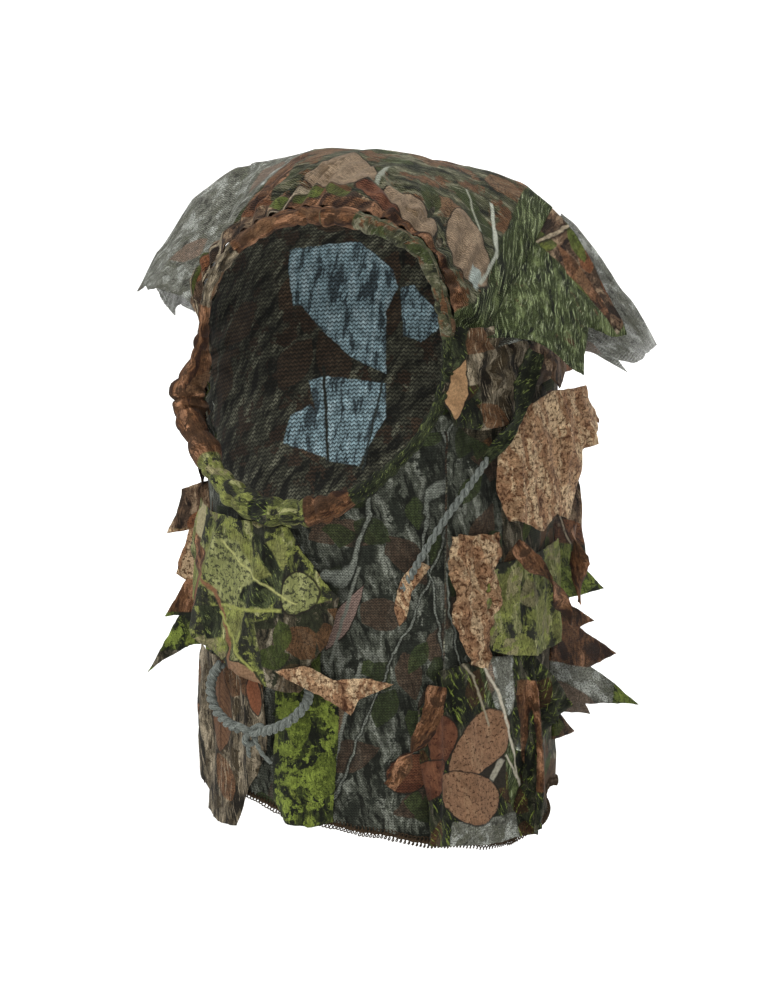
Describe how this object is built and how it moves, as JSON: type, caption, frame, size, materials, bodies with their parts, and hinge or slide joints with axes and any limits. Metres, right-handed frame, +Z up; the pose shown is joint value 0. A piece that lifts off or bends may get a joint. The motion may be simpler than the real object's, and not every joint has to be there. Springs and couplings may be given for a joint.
{
  "type": "camo face mask",
  "caption": "Leafy camouflage hood of knitted mesh with an elastic face opening, a two-layer winged brim, hanging cut-cloth leaves and a neck drawcord.",
  "frame": {"origin": "inside of the hood at the crown of the head, where the wearer's head carries it", "axes": "+Z up along the wearer's neck; the face opening looks along -Y; +X is the viewer's right"},
  "size_m": [0.3545, 0.2861, 0.4377],
  "materials": {
    "hood_mesh": "matte",
    "neck_mesh": "matte",
    "seam_tape": "matte",
    "overlock_thread": "matte",
    "rim_cloth": "matte",
    "elastic": "matte",
    "brim_mesh": "matte",
    "brim_mesh_pale": "matte",
    "leaf_green": "matte",
    "leaf_brown": "matte",
    "leaf_bark": "matte",
    "leaf_spotted": "matte",
    "leaf_dark": "matte",
    "leaf_mesh": "matte",
    "leaf_fluffy": "matte",
    "tie_cloth": "matte",
    "cord_yarn": "matte"
  },
  "bodies": {
    "hood": {"hood_left": "hood_mesh", "hood_right": "hood_mesh", "hood_front": "neck_mesh", "centre_seam": "seam_tape", "hem_binding": "overlock_thread", "rim_casing": "rim_cloth", "rim_elastic": "elastic", "brim_crown": "brim_mesh", "brim_back_crown": "brim_mesh_pale", "lower_left_flap": "leaf_bark", "moss_flap": "leaf_green", "left_lower_patch": "leaf_dark", "right_mesh_flap": "leaf_mesh", "fluffy_strip": "leaf_fluffy", "lime_leaf": "leaf_dark", "right_patch": "leaf_dark", "front_sliver": "leaf_bark", "gather_tab": "leaf_mesh", "tie_strap": "tie_cloth", "tie_cord": "cord_yarn", "neck_casing": "tie_cloth"},
    "wing_left": {"brim_front_left": "brim_mesh", "brim_back_left": "brim_mesh_pale"},
    "wing_right": {"brim_front_right": "brim_mesh", "brim_back_right": "brim_mesh_pale"},
    "bib": {"bib_flap": "leaf_green", "bib_leaf": "leaf_brown"},
    "spotted": {"spotted_leaf": "leaf_spotted"},
    "left_leaf": {"left_side_leaf": "leaf_spotted"},
    "twist_strips": {"twist_strip_a": "leaf_brown", "twist_strip_b": "leaf_brown"},
    "curl": {"curled_strip": "leaf_brown"},
    "back_upper": {"back_leaf_upper": "leaf_bark"},
    "back_lower": {"back_leaf_lower": "leaf_bark"},
    "drawcord": {"drawcord_left": "cord_yarn", "drawcord_right": "cord_yarn", "drawcord_knot": "cord_yarn", "drawcord_tail_left": "cord_yarn", "drawcord_tail_right": "cord_yarn"},
    "fringe_right": {"right_fringe": "leaf_bark"},
    "fringe_left": {"left_fringe": "leaf_green"}
  },
  "joints": [
    {"name": "wing_left_lift", "type": "hinge", "parent": "hood", "child": "wing_left", "pos_m": [-0.09961, -0.06715, -0.08825], "axis": [-0.0379, 0.7961, 0.604], "range_deg": [0, 25]},
    {"name": "wing_right_lift", "type": "hinge", "parent": "hood", "child": "wing_right", "pos_m": [0.104, 0.025, -0.01833], "axis": [-0.0379, -0.7961, -0.604], "range_deg": [0, 25]},
    {"name": "bib_lift", "type": "hinge", "parent": "hood", "child": "bib", "pos_m": [-0.04298, -0.1123, -0.21], "axis": [-0.9205, 0.3907, 0], "range_deg": [0, 60]},
    {"name": "spotted_leaf_swing", "type": "hinge", "parent": "hood", "child": "spotted", "pos_m": [0.113, -0.00109, -0.138], "axis": [-0.0087, -1, 0], "range_deg": [0, 35]},
    {"name": "left_leaf_swing", "type": "hinge", "parent": "hood", "child": "left_leaf", "pos_m": [-0.11098, -0.00215, -0.14], "axis": [-0.0174, 0.9998, 0], "range_deg": [0, 35]},
    {"name": "twist_strips_swing", "type": "hinge", "parent": "hood", "child": "twist_strips", "pos_m": [0.11437, -0.01328, -0.222], "axis": [-0.1045, -0.9945, 0], "range_deg": [0, 40]},
    {"name": "curled_strip_swing", "type": "hinge", "parent": "hood", "child": "curl", "pos_m": [0.07488, -0.09362, -0.303], "axis": [-0.749, -0.6626, 0], "range_deg": [0, 40]},
    {"name": "back_upper_lift", "type": "hinge", "parent": "hood", "child": "back_upper", "pos_m": [0, 0.123, -0.116], "axis": [1, 0, 0], "range_deg": [0, 40]},
    {"name": "back_lower_lift", "type": "hinge", "parent": "hood", "child": "back_lower", "pos_m": [0, 0.123, -0.226], "axis": [1, 0, 0], "range_deg": [0, 35]},
    {"name": "drawcord_swing", "type": "hinge", "parent": "hood", "child": "drawcord", "pos_m": [-0.02329, -0.12129, -0.3002], "axis": [-0.9781, 0.2079, 0], "range_deg": [0, 18]},
    {"name": "right_fringe_swing", "type": "hinge", "parent": "hood", "child": "fringe_right", "pos_m": [0.10199, 0.0457, -0.27], "axis": [0, 0, 1], "range_deg": [-20, 45]},
    {"name": "left_fringe_swing", "type": "hinge", "parent": "hood", "child": "fringe_left", "pos_m": [-0.10833, -0.02119, -0.28], "axis": [0, 0, 1], "range_deg": [-35, 25]}
  ]
}
